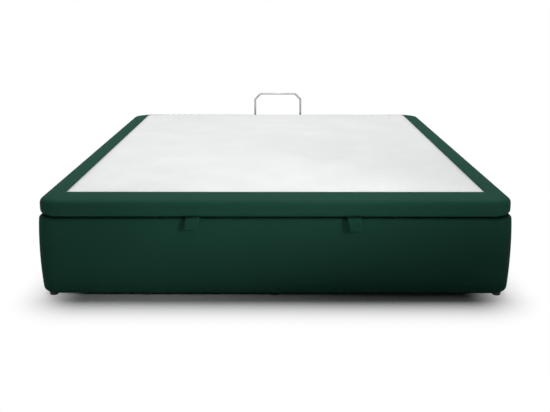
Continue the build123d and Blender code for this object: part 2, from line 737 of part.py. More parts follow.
def lid_rear_rail():
    """The welded head edge: a tube between the hinge pockets, on a flat bar that runs on
    behind the hinges to the corners, and two short tubes that tie it to the hinge tube."""
    z = (FRAME_BOTTOM, FRAME_TOP)
    ends = FRAME_X - FRAME_CORNER
    strip = block((-ends, ends), (REAR_RAIL_Y, FRAME_Y), z)
    front = REAR_RAIL_Y - TUBE
    rail = square_tube((-REAR_RAIL_X, REAR_RAIL_X), (front, REAR_RAIL_Y), z, "X")
    stub = square_tube(
        (REAR_RAIL_X - TUBE, REAR_RAIL_X), (HINGE_TUBE_Y + TUBE / 2, front), z, "Y"
    )
    return strip.fuse(rail, stub, mirror(stub, about=Plane.YZ))


def cross_tube_places():
    """Middles of the cross tubes: the hinge tube, then even steps to the foot rail."""
    step = (SPRING_TUBE_Y - FOOT_TUBE_Y) / CROSS_TUBES
    return [HINGE_TUBE_Y] + [SPRING_TUBE_Y - n * step for n in range(CROSS_TUBES)]


def lid_cross_tubes():
    """Tubes across the lid frame."""
    return [
        square_tube(
            (-RAIL_X, RAIL_X), (y - TUBE / 2, y + TUBE / 2), (FRAME_BOTTOM, FRAME_TOP), "X"
        )
        for y in cross_tube_places()
    ]


def lid_board():
    """Board on top of the lid frame."""
    plan = RectangleRounded(2 * FRAME_X, 2 * FRAME_Y, FRAME_CORNER)
    return Pos(0, 0, FRAME_TOP) * extrude(plan, LID_BOARD)


def lid_foam():
    """Foam sheet under the pale panel."""
    return block((-PANEL_X, PANEL_X), (PANEL_FOOT, PANEL_HEAD), (LID_BOARD_TOP, LID_FOAM_TOP))


def top_panel():
    """Pale ventilated panel, crowned like a shallow cushion."""
    edge = LID_FOAM_TOP + PANEL_EDGE
    length = PANEL_HEAD - PANEL_FOOT
    sections = []
    for share, crown in CROWN_STEPS:
        y = PANEL_FOOT + share * length
        outline = [
            Polyline(
                (-PANEL_X, y, edge),
                (-PANEL_X, y, LID_FOAM_TOP),
                (PANEL_X, y, LID_FOAM_TOP),
                (PANEL_X, y, edge),
            ),
            ThreePointArc(
                (PANEL_X, y, edge), (0, y, edge + crown * PANEL_CROWN), (-PANEL_X, y, edge)
            ),
        ]
        sections.append(make_face(outline))
    return loft(sections)


# Pull tabs
def strap_arc(centre, radius, first, last):
    """Points round an arc of the strap, between two angles in degrees."""
    flats = round(abs(last - first) / 90 * STRAP_FLATS)
    angles = [radians(first + (last - first) * n / flats) for n in range(flats + 1)]
    return [(0, centre[0] + radius * cos(a), centre[1] + radius * sin(a)) for a in angles]


def pull_tab():
    """A strap folded into a loop: out through the gap, down in front of the box and back."""
    half = TAB_THICKNESS / 2
    front_z = LID_BOTTOM - half
    back_z = front_z - TAB_THICKNESS - TAB_LAYER_GAP
    bend_z = BOX_TOP - BOX_TOP_ROUND
    back_y = -(HALF_LENGTH - BULGE) + BOX_TOP_ROUND - TAB_CLEAR
    back_radius = back_z - bend_z
    front_radius = front_z - bend_z
    turn_radius = TAB_REACH / 2
    turn_y = back_y - back_radius - turn_radius
    front_y = turn_y - turn_radius + front_radius
    inside = -HALF_LENGTH + TAB_INSIDE
    sides = []
    for out in (half, -half):
        sides.append(
            [(0, inside, front_z + out)]
            + strap_arc((front_y, bend_z), front_radius + out, 90, 180)
            + strap_arc((turn_y, bend_z - TAB_DROP), turn_radius + out, 180, 360)
            + strap_arc((back_y, bend_z), back_radius - out, 180, 90)
            + [(0, inside, back_z - out)]
        )
    strap = make_face(Polyline(*sides[0], *reversed(sides[1]), close=True))
    return extrude(strap, TAB_WIDTH / 2, dir=(1, 0, 0), both=True)


# Mattress bar
def bar_leg_places():
    """X of the two legs."""
    return [BAR_OFFSET - BAR_WIDTH / 2, BAR_OFFSET + BAR_WIDTH / 2]


def mattress_bar():
    """Bent round bar with a plate at each foot, on the lid's head face."""
    y = LID_Y + BAR_PLATE + BAR_RADIUS - BAR_WELD
    left, right = bar_leg_places()
    top = LID_TOP + BAR_HEIGHT - BAR_RADIUS
    foot = PIVOT_Z - BAR_PLATE_HALF_HEIGHT + BAR_FOOT
    path = FilletPolyline(
        (left, y, foot),
        (left, y, top - BAR_CHAMFER),
        (left + BAR_CHAMFER, y, top),
        (right - BAR_CHAMFER, y, top),
        (right, y, top - BAR_CHAMFER),
        (right, y, foot),
        radius=BAR_BEND,
    )
    bar = sweep(Plane(origin=(left, y, foot), z_dir=(0, 0, 1)) * Circle(BAR_RADIUS), path=path)
    for x in (left, right):
        bar += block(
            (x - BAR_PLATE_HALF_WIDTH, x + BAR_PLATE_HALF_WIDTH),
            (LID_Y, LID_Y + BAR_PLATE),
            (PIVOT_Z - BAR_PLATE_HALF_HEIGHT, PIVOT_Z + BAR_PLATE_HALF_HEIGHT),
        )
    return bar


def bar_bolts():
    """Bolts through the bar's plates, the cover and the rear rail, and their nuts."""
    bolts, nuts = [], []
    outer = LID_Y + BAR_PLATE
    inner = REAR_RAIL_Y - TUBE
    for leg in bar_leg_places():
        for x in (leg - BAR_BOLT_X, leg + BAR_BOLT_X):
            tip = inner - BOLT_NUT - BOLT_TIP
            shank = sided_bar(BOLT_RADIUS, (x, tip, PIVOT_Z), (x, outer, PIVOT_Z))
            head = hexagon((x, outer, PIVOT_Z), (0, 1, 0), BOLT_ACROSS, BOLT_HEAD)
            bolts.append(shank + head)
            nut = hexagon((x, inner, PIVOT_Z), (0, -1, 0), BOLT_ACROSS, BOLT_NUT)
            nuts.append(nut - shank)
    return bolts, nuts


# Assembly
def drilled(shape, fasteners):
    """The shape with a hole for each fastener whose box meets the shape's box."""
    box = shape.bounding_box()
    for fastener in fasteners:
        own = fastener.bounding_box()
        apart = (
            own.max.X < box.min.X or own.min.X > box.max.X
            or own.max.Y < box.min.Y or own.min.Y > box.max.Y
            or own.max.Z < box.min.Z or own.min.Z > box.max.Z
        )
        if not apart:
            shape = shape - fastener
    return shape


def assemble():
    """Every named piece, as lists of solids."""
    hanger, hanger_nut = post_bolt()
    pin, pin_nut = hinge_pin()
    bolts, nuts = bar_bolts()
    frame = spring_plane()
    post = quarter_post(POST_RADIUS, (CORNER_X, CORNER_Y), (BOARD_BOTTOM, BOARD_TOP))
    block_centre = (FRAME_X - FRAME_CORNER, FRAME_Y - FRAME_CORNER)
    parts = wall_boards()
    parts["corner_posts"] = four_corners(post - hanger)
    parts["corner_braces"] = four_corners(corner_brace() - hanger)
    parts["post_bolts"] = four_corners(hanger)
    parts["post_nuts"] = four_corners(hanger_nut)
    parts["box_cover"] = box_cover()
    parts["floor_cleats"] = floor_cleats()
    parts["floor_rails"] = floor_rails()
    parts["floor_panel_head"] = floor_panel()
    parts["floor_panel_foot"] = mirror(floor_panel(), about=Plane.XZ)
    parts["glides"] = [glide(place) for place in glide_places()]
    parts["lid_buffers"] = lid_buffers()
    parts["hinge_nuts"] = list(both_sides(pin_nut).values())

    parts["lid_foot_rail"] = lid_foot_rail()
    parts["lid_rear_rail"] = drilled(lid_rear_rail(), bolts)
    parts["lid_cross_tubes"] = lid_cross_tubes()
    parts["lid_corner_blocks"] = four_corners(
        quarter_post(FRAME_CORNER, block_centre, (FRAME_BOTTOM, FRAME_TOP))
    )
    parts["lid_board"] = lid_board()
    parts["lid_foam"] = lid_foam()
    parts["top_panel"] = top_panel()
    parts["lid_cover"] = drilled(lid_cover(), bolts)
    parts["pull_tab_left"] = Pos(-TAB_X, 0, 0) * pull_tab()
    parts["pull_tab_right"] = Pos(TAB_X, 0, 0) * pull_tab()
    parts["mattress_bar"] = drilled(mattress_bar(), bolts)
    parts["bar_bolts"] = bolts
    parts["bar_nuts"] = nuts
    parts["hinge_bushes"] = list(both_sides(hinge_bush()).values())

    for name, shape in (
        ("hinge_bracket", hinge_bracket()),
        ("hinge_pin", pin),
        ("hinge_lug", hinge_lug()),
        ("spring_base", spring_base()),
        ("spring_lid_plate", spring_lid_plate()),
        ("lid_side_rail", lid_side_rail()),
        ("spring_cylinder", frame * spring_cylinder()),
        ("rod_guide", frame * rod_guide()),
        ("piston_rod", frame * piston_rod()),
        ("piston", frame * piston()),
        ("rod_eye", frame * rod_eye()),
    ):
        for side, placed in both_sides(shape).items():
            parts[f"{name}_{side}"] = placed
    return parts


def main():
    os.makedirs("parts", exist_ok=True)
    print(
        f"spring: studs {STUD_RADIUS_FROM_PIVOT:.3f} from the axis, closed {SPRING_CLOSED:.2f}, "
        f"open {SPRING_OPEN:.2f}, stroke {SPRING_OPEN - SPRING_CLOSED:.2f}"
    )
    for name, shapes in assemble().items():
        export_step(Compound(solids_of(shapes)), f"parts/{name}.step")


main()
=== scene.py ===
import json
import math

import bmesh
import bpy
from mathutils import Euler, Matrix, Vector, noise


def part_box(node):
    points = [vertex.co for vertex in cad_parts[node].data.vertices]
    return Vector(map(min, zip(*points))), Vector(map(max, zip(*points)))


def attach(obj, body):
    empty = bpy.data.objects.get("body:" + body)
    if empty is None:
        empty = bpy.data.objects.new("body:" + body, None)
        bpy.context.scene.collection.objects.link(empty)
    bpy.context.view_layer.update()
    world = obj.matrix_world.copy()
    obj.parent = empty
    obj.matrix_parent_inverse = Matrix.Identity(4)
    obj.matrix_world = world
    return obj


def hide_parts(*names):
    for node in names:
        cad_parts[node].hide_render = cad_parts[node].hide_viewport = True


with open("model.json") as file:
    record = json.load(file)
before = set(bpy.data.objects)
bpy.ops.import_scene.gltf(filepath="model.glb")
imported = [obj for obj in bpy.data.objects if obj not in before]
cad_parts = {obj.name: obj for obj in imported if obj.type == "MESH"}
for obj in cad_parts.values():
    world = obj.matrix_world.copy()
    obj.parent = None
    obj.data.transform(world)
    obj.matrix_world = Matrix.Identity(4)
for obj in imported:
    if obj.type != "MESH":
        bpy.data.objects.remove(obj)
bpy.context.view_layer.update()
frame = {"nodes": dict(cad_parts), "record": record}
NODES = frame["nodes"]

# A storage bed base: an upholstered box, closed by an upholstered lid that lifts from the
# foot end on two hinges and two gas springs. Metres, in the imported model's own frame.

# The photograph's frame and the camera fitted to the object's outlines in it
PHOTO_WIDTH = 550
SENSOR = 36.0
FOCAL_PIXELS = 809.0
CAMERA_PLACE = (0.0057, -3.352, 0.927)
CAMERA_DOWN = 14.58
CAMERA_YAW = 0.14

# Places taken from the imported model
BOX_LOW, BOX_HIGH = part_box("box_cover")
LID_LOW, LID_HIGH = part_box("lid_cover")
PANEL_LOW, PANEL_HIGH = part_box("top_panel")
FOAM_LOW, FOAM_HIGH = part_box("lid_foam")
LID_BOARD_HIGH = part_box("lid_board")[1]
BOARD_LOW, BOARD_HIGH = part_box("side_board_right")
HEAD_BOARD_LOW, HEAD_BOARD_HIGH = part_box("head_board")
POST_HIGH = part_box("corner_posts")[1]
LUG_LOW, LUG_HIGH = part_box("hinge_lug_right")

CORNER_X = HEAD_BOARD_HIGH.x
CORNER_Y = BOARD_HIGH.y
BOX_CORNER = BOX_HIGH.x - CORNER_X
LID_CORNER = LID_HIGH.x - CORNER_X
FRAME_CORNER = LID_BOARD_HIGH.x - CORNER_X
HINGE_X = (LUG_LOW.x + LUG_HIGH.x) / 2

MM = 0.001
STAPLE_LENGTH = 11 * MM
STAPLE_WIRE = 1.1 * MM
SCREW_SIDES = 32


# Mesh helpers
def add_object(name, verts, faces, body, material, smooth=True):
    """A mesh object that rides on a body, with a slot's finish."""
    mesh = bpy.data.meshes.new(name)
    mesh.from_pydata([tuple(v) for v in verts], [], faces)
    mesh.validate()
    if smooth:
        mesh.shade_smooth()
    obj = bpy.data.objects.new(name, mesh)
    bpy.context.scene.collection.objects.link(obj)
    obj.data.materials.append(material)
    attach(obj, body)
    return obj


def square_axes(along, up):
    """Three square directions: along, across and up."""
    along = Vector(along).normalized()
    across = Vector(up).cross(along).normalized()
    return along, across, along.cross(across)


class Shape:
    """Vertices and faces gathered from many small pieces."""

    def __init__(self):
        self.verts, self.faces = [], []

    def loft(self, rings):
        """A skin through rings of equal size, closed at both ends."""
        first, size = len(self.verts), len(rings[0])
        for r in range(len(rings) - 1):
            low = first + r * size
            for k in range(size):
                m = (k + 1) % size
                self.faces.append((low + k, low + m, low + size + m, low + size + k))
        last = first + (len(rings) - 1) * size
        self.faces.append(tuple(range(first + size - 1, first - 1, -1)))
        self.faces.append(tuple(range(last, last + size)))
        self.verts += [point for ring in rings for point in ring]

    def stitch(self, centre, along, up, length, radius):
        """One stitch of thread, half sunk in a surface."""
        along, across, up = square_axes(along, up)
        turns = [math.pi / 3 * k for k in range(6)]
        rings = []
        for share, width in ((-1, 0.25), (-0.7, 0.85), (0, 1), (0.7, 0.85), (1, 0.25)):
            middle = centre + along * (share * length / 2)
            rings.append([
                middle + (across * math.cos(a) + up * math.sin(a)) * radius * width for a in turns
            ])
        self.loft(rings)

    def staple(self, centre, along, up):
        """The crown of a wire staple, with its ends bent into the surface."""
        along, across, up = square_axes(along, up)
        rings = []
        for share, lift in ((-1, -1), (-0.92, 0.2), (0.92, 0.2), (1, -1)):
            middle = centre + along * (share * STAPLE_LENGTH / 2) + up * (lift * STAPLE_WIRE)
            rings.append([
                middle + across * (a * STAPLE_WIRE) + up * (b * STAPLE_WIRE / 2)
                for a, b in ((-0.5, -0.5), (0.5, -0.5), (0.5, 0.5), (-0.5, 0.5))
            ])
        self.loft(rings)

    def screw(self, seat, outward, radius):
        """A pan-head screw with a cross recess, standing on a surface."""
        outward = Vector(outward).normalized()
        along, across, up = square_axes(outward.orthogonal(), outward)
        height = radius * 0.55
        rings = []
        for share, level in (
            (1, -0.1), (1, 0.45), (0.9, 0.78), (0.72, 0.95), (0.6, 1), (0.5, 1), (0.3, 1), (0.1, 1)
        ):
            ring = []
            for k in range(SCREW_SIDES):
                turn = 2 * math.pi * k / SCREW_SIDES
                from_arm = (turn + math.pi / 4) % (math.pi / 2) - math.pi / 4
                sunk = share < 0.55 and share * abs(math.sin(from_arm)) < 0.12
                depth = height * (level - (0.6 if sunk else 0))
                flat = along * math.cos(turn) + across * math.sin(turn)
                ring.append(Vector(seat) + flat * radius * share + up * depth)
            rings.append(ring)
        self.loft(rings)

    def build(self, name, body, slot, material, sharp=None):
        obj = add_object(name, self.verts, self.faces, body, material)
        if sharp is not None:
            obj.data.set_sharp_from_angle(angle=math.radians(sharp))
        return obj


# Materials
LEATHER_GREEN = (0.0160, 0.0660, 0.0450)
# Shaded and lit copies of the thread's colour, painted along its twist
THREAD_SHADED, THREAD_LIT = (0.012, 0.05, 0.034), (0.03, 0.11, 0.076)
FABRIC_DARK, FABRIC_LIGHT = (0.835, 0.845, 0.845), (0.885, 0.89, 0.89)
# The first foam colour is painted shade for the pores, the second the foam's own colour
FOAM_PORE_SHADE, FOAM_LIGHT = (0.62, 0.55, 0.30), (0.78, 0.72, 0.46)


class Nodes:
    """A short way to write a material's nodes."""

    def __init__(self, name):
        self.material = bpy.data.materials.new(name)
        self.material.use_nodes = True
        self.tree = self.material.node_tree
        self.shader = self.tree.nodes["Principled BSDF"]
        self.place = self.tree.nodes.new("ShaderNodeTexCoord").outputs["Object"]

    def new(self, kind, **settings):
        node = self.tree.nodes.new(f"ShaderNode{kind}")
        for key, value in settings.items():
            setattr(node, key, value)
        return node

    def link(self, source, target):
        self.tree.links.new(source, target)

    def set(self, **values):
        """Plain values on the shader's own sockets."""
        names = {
            "colour": "Base Color", "metal": "Metallic", "rough": "Roughness",
            "specular": "Specular IOR Level", "coat": "Coat Weight",
            "coat_rough": "Coat Roughness", "sheen": "Sheen Weight",
            "sheen_rough": "Sheen Roughness", "anisotropic": "Anisotropic",
        }
        for key, value in values.items():
            self.shader.inputs[names[key]].default_value = value

    def scaled(self, scale):
        """Object coordinates times a scale, one number or three."""
        node = self.new("Mapping")
        node.inputs["Scale"].default_value = scale if hasattr(scale, "__len__") else (scale,) * 3
        self.link(self.place, node.inputs["Vector"])
        return node.outputs["Vector"]

    def noise(self, scale, detail=2.0, rough=0.5, vector=None, distortion=0.0):
        node = self.new("TexNoise")
        node.inputs["Scale"].default_value = scale
        node.inputs["Detail"].default_value = detail
        node.inputs["Roughness"].default_value = rough
        node.inputs["Distortion"].default_value = distortion
        self.link(vector or self.place, node.inputs["Vector"])
        return node.outputs["Fac"]

    def voronoi(self, scale, feature="F1", output="Distance", vector=None):
        node = self.new("TexVoronoi", feature=feature)
        node.inputs["Scale"].default_value = scale
        self.link(vector or self.place, node.inputs["Vector"])
        return node.outputs[output]

    def ramp(self, source, *stops):
        """A colour ramp with (position, colour) stops."""
        node = self.new("ValToRGB")
        elements = node.color_ramp.elements
        while len(elements) < len(stops):
            elements.new(0.5)
        for element, (position, colour) in zip(elements, stops):
            element.position = position
            element.color = (*colour, 1.0) if hasattr(colour, "__len__") else (colour,) * 3 + (1.0,)
        self.link(source, node.inputs["Fac"])
        return node.outputs["Color"]

    def math(self, operation, a, b=0.5, clamp=False):
        node = self.new("Math", operation=operation, use_clamp=clamp)
        for socket, value in zip(node.inputs, (a, b)):
            if isinstance(value, (int, float)):
                socket.default_value = value
            else:
                self.link(value, socket)
        return node.outputs["Value"]

    def spread(self, source, low, high):
        """A 0 to 1 value spread between low and high."""
        node = self.new("MapRange")
        node.inputs["To Min"].default_value = low
        node.inputs["To Max"].default_value = high
        self.link(source, node.inputs["Value"])
        return node.outputs["Result"]

    def mix(self, factor, a, b, blend="MIX"):
        """Two colours mixed; each is a socket or a plain colour."""
        node = self.new("Mix", data_type="RGBA", blend_type=blend)
        for socket, value in ((node.inputs[0], factor), (node.inputs[6], a), (node.inputs[7], b)):
            if isinstance(value, (int, float)):
                socket.default_value = value
            elif hasattr(value, "__len__"):
                socket.default_value = (*value, 1.0)
            else:
                self.link(value, socket)
        return node.outputs[2]

    def bump(self, height, strength, distance, below=None):
        node = self.new("Bump")
        node.inputs["Strength"].default_value = strength
        node.inputs["Distance"].default_value = distance
        self.link(height, node.inputs["Height"])
        if below is not None:
            self.link(below, node.inputs["Normal"])
        return node.outputs["Normal"]

    def finish(self, colour=None, rough=None, normal=None):
        for name, source in (("Base Color", colour), ("Roughness", rough), ("Normal", normal)):
            if source is not None:
                self.link(source, self.shader.inputs[name])
        return self.material


def leather():
    """Dark green grained faux leather, with a soft satin surface and painted shade in the creases of its
    grain.
    """
    n = Nodes("green_leather")
    base = LEATHER_GREEN
    pebble = n.voronoi(650.0, "DISTANCE_TO_EDGE", "Distance")
    creases = n.ramp(pebble, (0.0, 0.0), (0.14, 1.0))
    fine = n.noise(1500.0, 2.0, 0.6)
    cloud = n.noise(3.0, 3.0, 0.5)
    shade = n.ramp(cloud, (0.3, [c * 0.95 for c in base]), (0.7, [c * 1.05 for c in base]))
    # Painted shade: the colour is darkened by up to 18 per cent along the grain's creases.
    colour = n.mix(0.18, shade, n.mix(1.0, shade, creases, "MULTIPLY"))
    height = n.math("ADD", n.math("MULTIPLY", creases, 0.8), n.math("MULTIPLY", fine, 0.35))
    rough = n.spread(n.noise(60.0, 3.0), 0.50, 0.62)
    n.set(specular=0.004)
    return n.finish(colour, rough, n.bump(height, 0.25, 0.0004))


def thread():
    """Twisted sewing thread, a little lighter than the leather, with painted shade in the grooves of its
    twist and painted highlights on its crests.
    """
    n = Nodes("green_thread")
    twist = n.new("TexWave", bands_direction="DIAGONAL")
    twist.inputs["Scale"].default_value = 900.0
    n.link(n.place, twist.inputs["Vector"])
    fibre = twist.outputs["Fac"]
    # Painted shade and highlight: the twist's grooves take the shaded copy, its crests the lit one.
    tone = n.ramp(fibre, (0.2, THREAD_SHADED), (0.8, THREAD_LIT))
    n.set(specular=0.3)
    return n.finish(tone, n.spread(fibre, 0.5, 0.7), n.bump(fibre, 0.5, 0.0002))


def spacer_fabric():
    """White knitted spacer fabric: rows of small round meshes with painted shade in their holes, faintly
    mottled.
    """
    n = Nodes("white_spacer_fabric")
    cells = n.voronoi(300.0, "F1", "Distance", n.scaled((1.0, 0.8, 1.0)))
    holes = n.ramp(cells, (0.18, 0.0), (0.42, 1.0))
    cloud = n.noise(5.0, 4.0, 0.55)
    tone = n.ramp(cloud, (0.35, FABRIC_DARK), (0.7, FABRIC_LIGHT))
    # Painted shade: the colour is darkened by up to a tenth in the mesh holes.
    colour = n.mix(0.10, tone, n.mix(1.0, tone, holes, "MULTIPLY"))
    yarn = n.noise(900.0, 2.0)
    height = n.math("ADD", holes, n.math("MULTIPLY", yarn, 0.4))
    n.set(specular=0.15, sheen=0.15, sheen_rough=0.5)
    return n.finish(colour, n.spread(yarn, 0.75, 0.95), n.bump(height, 0.35, 0.0006))


def foam():
    """Pale yellow foam with open cells, painted darker in their pores as shade."""
    n = Nodes("yellow_foam")
    cells = n.voronoi(650.0)
    # Painted shade: the pores' centres take the darker colour, the cell walls the foam's own.
    colour = n.ramp(cells, (0.1, FOAM_PORE_SHADE), (0.6, FOAM_LIGHT))
    n.set(specular=0.1)
    return n.finish(colour, n.spread(n.noise(200.0), 0.85, 1.0), n.bump(cells, 0.6, 0.0008))


def board_finish(name, light, dark, grain_scale, rough, fleck):
    """A wood-based board, with its grain or flecks along Y."""
    n = Nodes(name)
    grain = n.noise(grain_scale, 5.0, 0.6, n.scaled((9.0, 0.6, 9.0)), 0.4)
    flecks = n.noise(fleck, 2.0, 0.7)
    tone = n.ramp(grain, (0.35, dark), (0.65, light))
    spots = n.ramp(flecks, (0.35, [c * 0.86 for c in dark]), (0.6, light))
    colour = n.mix(0.35, tone, spots)
    n.set(specular=0.3)
    height = n.math("ADD", grain, flecks)
    return n.finish(colour, n.spread(flecks, rough - 0.06, rough + 0.06), n.bump(height, 0.12, 0.0005))


def metal(name, colour, rough, low=0.9, scale=(1.0, 1.0, 1.0), anisotropic=0.0):
    """Bare or plated metal with fine marks drawn out along one axis."""
    n = Nodes(name)
    marks = n.noise(900.0, 3.0, 0.6, n.scaled(scale))
    cloud = n.noise(30.0, 3.0)
    tone = n.ramp(cloud, (0.35, [c * low for c in colour]), (0.7, colour))
    n.set(metal=1.0, anisotropic=anisotropic)
    roughness = n.math("ADD", n.spread(marks, rough - 0.05, rough + 0.08), n.spread(cloud, 0.0, 0.05))
    return n.finish(tone, roughness, n.bump(marks, 0.08, 0.0002))


def paint(name, colour, rough, peel, coat=0.0):
    """Painted steel with a slight orange peel and paler worn spots."""
    n = Nodes(name)
    skin = n.noise(500.0, 2.0)
    wear = n.noise(18.0, 5.0, 0.65)
    worn = [c * 1.6 + 0.01 for c in colour]
    tone = n.ramp(wear, (0.55, colour), (0.8, worn))
    n.set(specular=0.45, coat=coat, coat_rough=0.1)
    return n.finish(tone, n.spread(wear, rough - 0.05, rough + 0.1), n.bump(skin, peel, 0.0003))


def plastic(name, colour, rough, specular=0.35):
    """Moulded plastic or rubber with a fine spark-eroded texture."""
    n = Nodes(name)
    skin = n.noise(1200.0, 3.0, 0.6)
    cloud = n.noise(25.0, 3.0)
    tone = n.ramp(cloud, (0.3, [c * 0.85 for c in colour]), (0.7, [c * 1.2 for c in colour]))
    n.set(specular=specular)
    return n.finish(tone, n.spread(cloud, rough - 0.06, rough + 0.06), n.bump(skin, 0.15, 0.0002))


def make_materials():
    """One material for each slot of the record, and one for the sewing thread."""
    return {
        "upholstery": leather(),
        "thread": thread(),
        "white_fabric": spacer_fabric(),
        "foam": foam(),
        "melamine_board": board_finish(
            "oak_melamine", (0.60, 0.50, 0.37), (0.47, 0.37, 0.25), 6.0, 0.45, 300.0
        ),
        "fibre_board": board_finish(
            "brown_fibre_board", (0.36, 0.23, 0.12), (0.24, 0.14, 0.07), 3.0, 0.6, 700.0
        ),
        "pine": board_finish("pine_wood", (0.64, 0.44, 0.22), (0.42, 0.24, 0.10), 12.0, 0.6, 250.0),
        "frame_paint": paint("grey_frame_paint", (0.055, 0.057, 0.06), 0.45, 0.2),
        "spring_paint": paint("black_spring_paint", (0.013, 0.013, 0.014), 0.25, 0.08, 0.4),
        "chrome_rod": metal("chrome_plate", (0.62, 0.63, 0.64), 0.1, 0.97),
        "satin_steel": metal("satin_steel", (0.36, 0.36, 0.36), 0.32, 0.85, (6.0, 6.0, 0.4), 0.3),
        "zinc": metal("zinc_plate", (0.55, 0.56, 0.55), 0.3, 0.8),
        "bronze": metal("sintered_bronze", (0.50, 0.30, 0.12), 0.35, 0.75),
        "black_plastic": plastic("black_plastic", (0.018, 0.018, 0.019), 0.5),
        "rubber": plastic("black_rubber", (0.014, 0.014, 0.014), 0.8, 0.08),
    }


MATERIALS = make_materials()


def dress_cad_nodes():
    """Gives every carried-over CAD node its slot's material."""
    for part in frame["record"]["subparts"]:
        mesh = NODES[part["node"]].data
        mesh.materials.clear()
        mesh.materials.append(MATERIALS[part["material_slot"]])


# Upholstery
STATION_STEP = 0.022
CORNER_STATIONS = 14


def plan_stations(corner_x, corner_y):
    """Stations round a rounded rectangle, anticlockwise from the foot's left end, given its
    corner's centre. Each has a point on the line through the centres, its outward direction
    and the share along its side, or None at a corner."""
    corners = [(-1, -1), (1, -1), (1, 1), (-1, 1)]
    stations = []
    for n, (sx, sy) in enumerate(corners):
        next_x, next_y = corners[(n + 1) % 4]
        start = Vector((sx * corner_x, sy * corner_y))
        end = Vector((next_x * corner_x, next_y * corner_y))
        along = (end - start).normalized()
        outward = Vector((along.y, -along.x))
        count = round((end - start).length / STATION_STEP)
        for k in range(count + 1):
            stations.append((start.lerp(end, k / count), outward, k / count))
        first = math.atan2(outward.y, outward.x)
        for k in range(1, CORNER_STATIONS):
            angle = first + math.pi / 2 * k / CORNER_STATIONS
            stations.append((end, Vector((math.cos(angle), math.sin(angle))), None))
    return stations


def ring_mesh(name, rings, body, material):
    """A closed surface through equal rings of points, joined into a loop both ways."""
    verts = [point for ring in rings for point in ring]
    size = len(rings[0])
    faces = []
    for r in range(len(rings)):
        s = (r + 1) % len(rings)
        for k in range(size):
            m = (k + 1) % size
            faces.append((r * size + k, s * size + k, s * size + m, r * size + m))
    obj = add_object(name, verts, faces, body, material)
    clean = bmesh.new()
    clean.from_mesh(obj.data)
    bmesh.ops.remove_doubles(clean, verts=clean.verts, dist=1e-5)
    bmesh.ops.recalc_face_normals(clean, faces=clean.faces)
    clean.to_mesh(obj.data)
    clean.free()
    obj.data.shade_smooth()
    return obj


def arc_points(centre, radius, start, end, count):
    """Points on an arc in a section, between two angles in degrees."""
    points = []
    for k in range(count + 1):
        angle = math.radians(start + (end - start) * k / count)
        points.append((centre[0] + radius * math.cos(angle), centre[1] + radius * math.sin(angle)))
    return points


BOX_EDGE_ROUND = 9 * MM
BOX_REAR_ROUND = 18 * MM
BOX_BOTTOM_ROUND = 14 * MM
BULGE = 5 * MM
SKIN = 3 * MM
BOARD = 22 * MM
CLEAT = 20 * MM
FACE_STEPS = 20
FACE_FULLNESS = 0.8
FACE_WAVE = 1.0 * MM


def box_section(edge_round):
    """Section of the box's cover as (distance out from the corner's centre, level)."""
    low, high = BOX_LOW.z, BOX_HIGH.z
    face = BOX_CORNER - BULGE
    board_face = POST_HIGH.x - CORNER_X
    wall = board_face - BOARD
    lip = wall - CLEAT
    points = [(lip + (face - BOX_BOTTOM_ROUND - lip) * k / 6, low) for k in range(6)]
    points += arc_points((face - BOX_BOTTOM_ROUND, low + BOX_BOTTOM_ROUND), BOX_BOTTOM_ROUND, -90, 0, 7)
    span = (low + BOX_BOTTOM_ROUND, high - edge_round)
    for k in range(1, FACE_STEPS):
        share = k / FACE_STEPS
        bulge = BULGE * math.sin(math.pi * share) ** FACE_FULLNESS
        points.append((face + bulge, span[0] + share * (span[1] - span[0])))
    points += arc_points((face - edge_round, high - edge_round), edge_round, 0, 90, 7)
    points += [(face - edge_round + (wall - face + edge_round) * k / 5, high) for k in range(1, 6)]
    points += [(wall, high - SKIN), (board_face, high - SKIN)]
    points += [(board_face, low + SKIN), (lip, low + SKIN)]
    return points


def soft_shift(point, size, amount, seed):
    """A small smooth random shift, the same every run."""
    return noise.noise(Vector(point) * size + Vector((seed, seed, seed))) * amount


def box_face(centre, outward, reach, level):
    """A point on the box's padded outside, which isn't quite flat."""
    place = centre + outward * reach
    place = place + outward * soft_shift((place.x, place.y, level * 2), 3.0, FACE_WAVE, 3.1)
    return Vector((place.x, place.y, level))


def rear_blend(outward, usual, rear):
    """A size that grows from its usual value to the one for the head end."""
    return usual + (rear - usual) * max(0.0, outward.y)


OUTSIDE_FIRST = 6
INSIDE_POINTS = 4


def box_cover():
    """Padded leather round the walls of the box."""
    rings = []
    for centre, outward, _ in plan_stations(CORNER_X, CORNER_Y):
        ring = []
        section = box_section(rear_blend(outward, BOX_EDGE_ROUND, BOX_REAR_ROUND))
        for k, (reach, level) in enumerate(section):
            if OUTSIDE_FIRST <= k < len(section) - INSIDE_POINTS:
                ring.append(box_face(centre, outward, reach, level))
            else:
                place = centre + outward * reach
                ring.append((place.x, place.y, level))
        rings.append(ring)
    obj = ring_mesh("box_upholstery", rings, "box", MATERIALS["upholstery"])
    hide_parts("box_cover")
    return obj


# Points across the flat seam as (share of its half width, height in mm)
SEAM_PROFILE = (
    (-1, -0.4), (-0.8, 0.5), (-0.15, 0.7), (0, 0.2), (0.15, 0.7), (0.8, 0.5), (1, -0.4), (0, -1.2)
)
SEAM_HALF = 5 * MM
SEAM_STITCH = 3.2 * MM
STITCH_PITCH = 4.5 * MM


